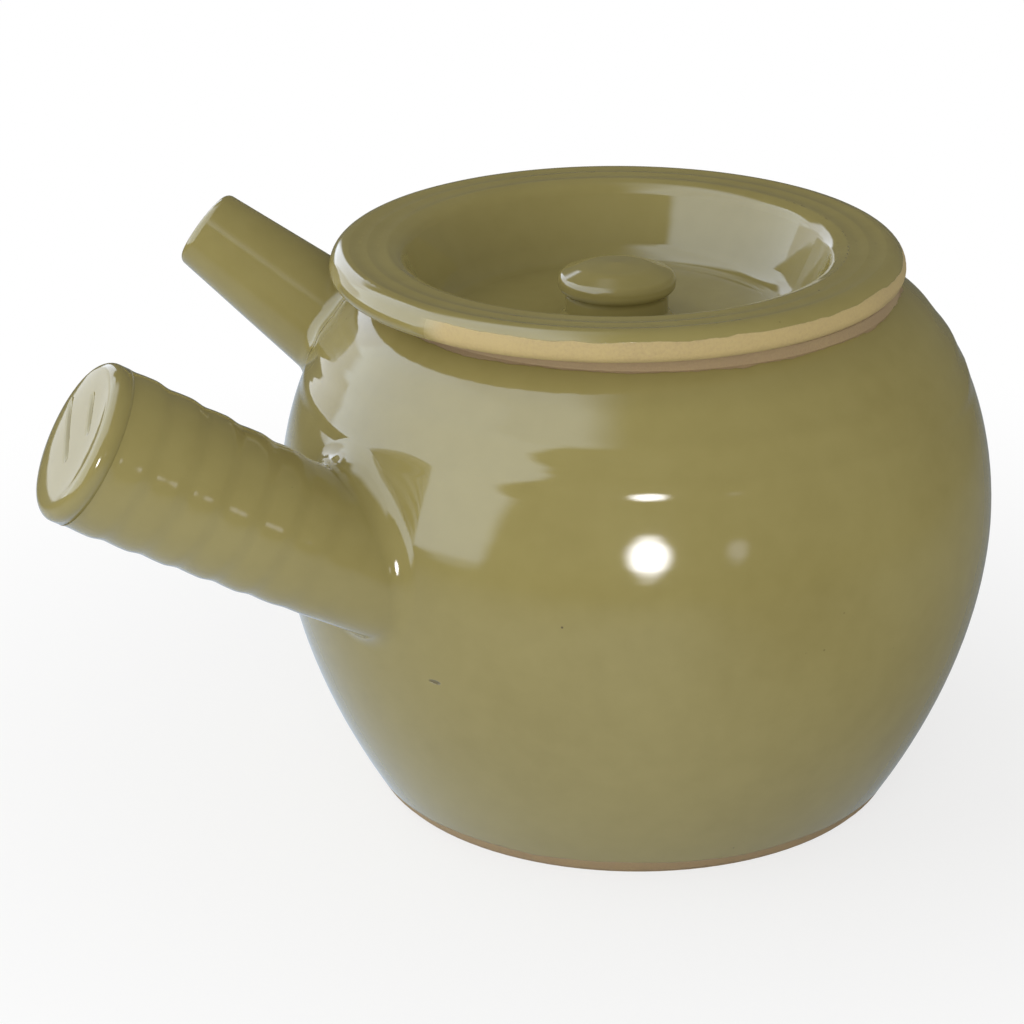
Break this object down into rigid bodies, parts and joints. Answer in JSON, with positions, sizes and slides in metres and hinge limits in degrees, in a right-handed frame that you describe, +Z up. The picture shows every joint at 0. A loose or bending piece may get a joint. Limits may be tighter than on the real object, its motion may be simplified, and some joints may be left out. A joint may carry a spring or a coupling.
{
  "type": "chinese herbal medicine pot",
  "caption": "Round-bellied glazed stoneware decoction pot with a straight ribbed side handle, a short tapered spout and a loose sunken lid with a knob.",
  "frame": {"origin": "centre of the flat foot, on the surface the pot stands on", "axes": "+Z up along the axis of the pot; the handle points along -X; the spout points to the side of -X and +Y"},
  "size_m": [0.2512, 0.185, 0.1466],
  "materials": {
    "olive_glaze": "glossy",
    "lid_glaze": "glossy"
  },
  "bodies": {
    "pot": {"pot_body": "olive_glaze", "spout_tube": "olive_glaze", "spout_luting": "olive_glaze", "handle_shell": "olive_glaze", "handle_end_pad": "olive_glaze", "handle_luting": "olive_glaze"},
    "lid": {"lid_dish": "lid_glaze", "lid_knob": "lid_glaze"}
  },
  "joints": [
    {"name": "lid_lift", "type": "slide", "parent": "pot", "child": "lid", "axis": [0, 0, 1], "range_m": [0, 0.12]}
  ]
}
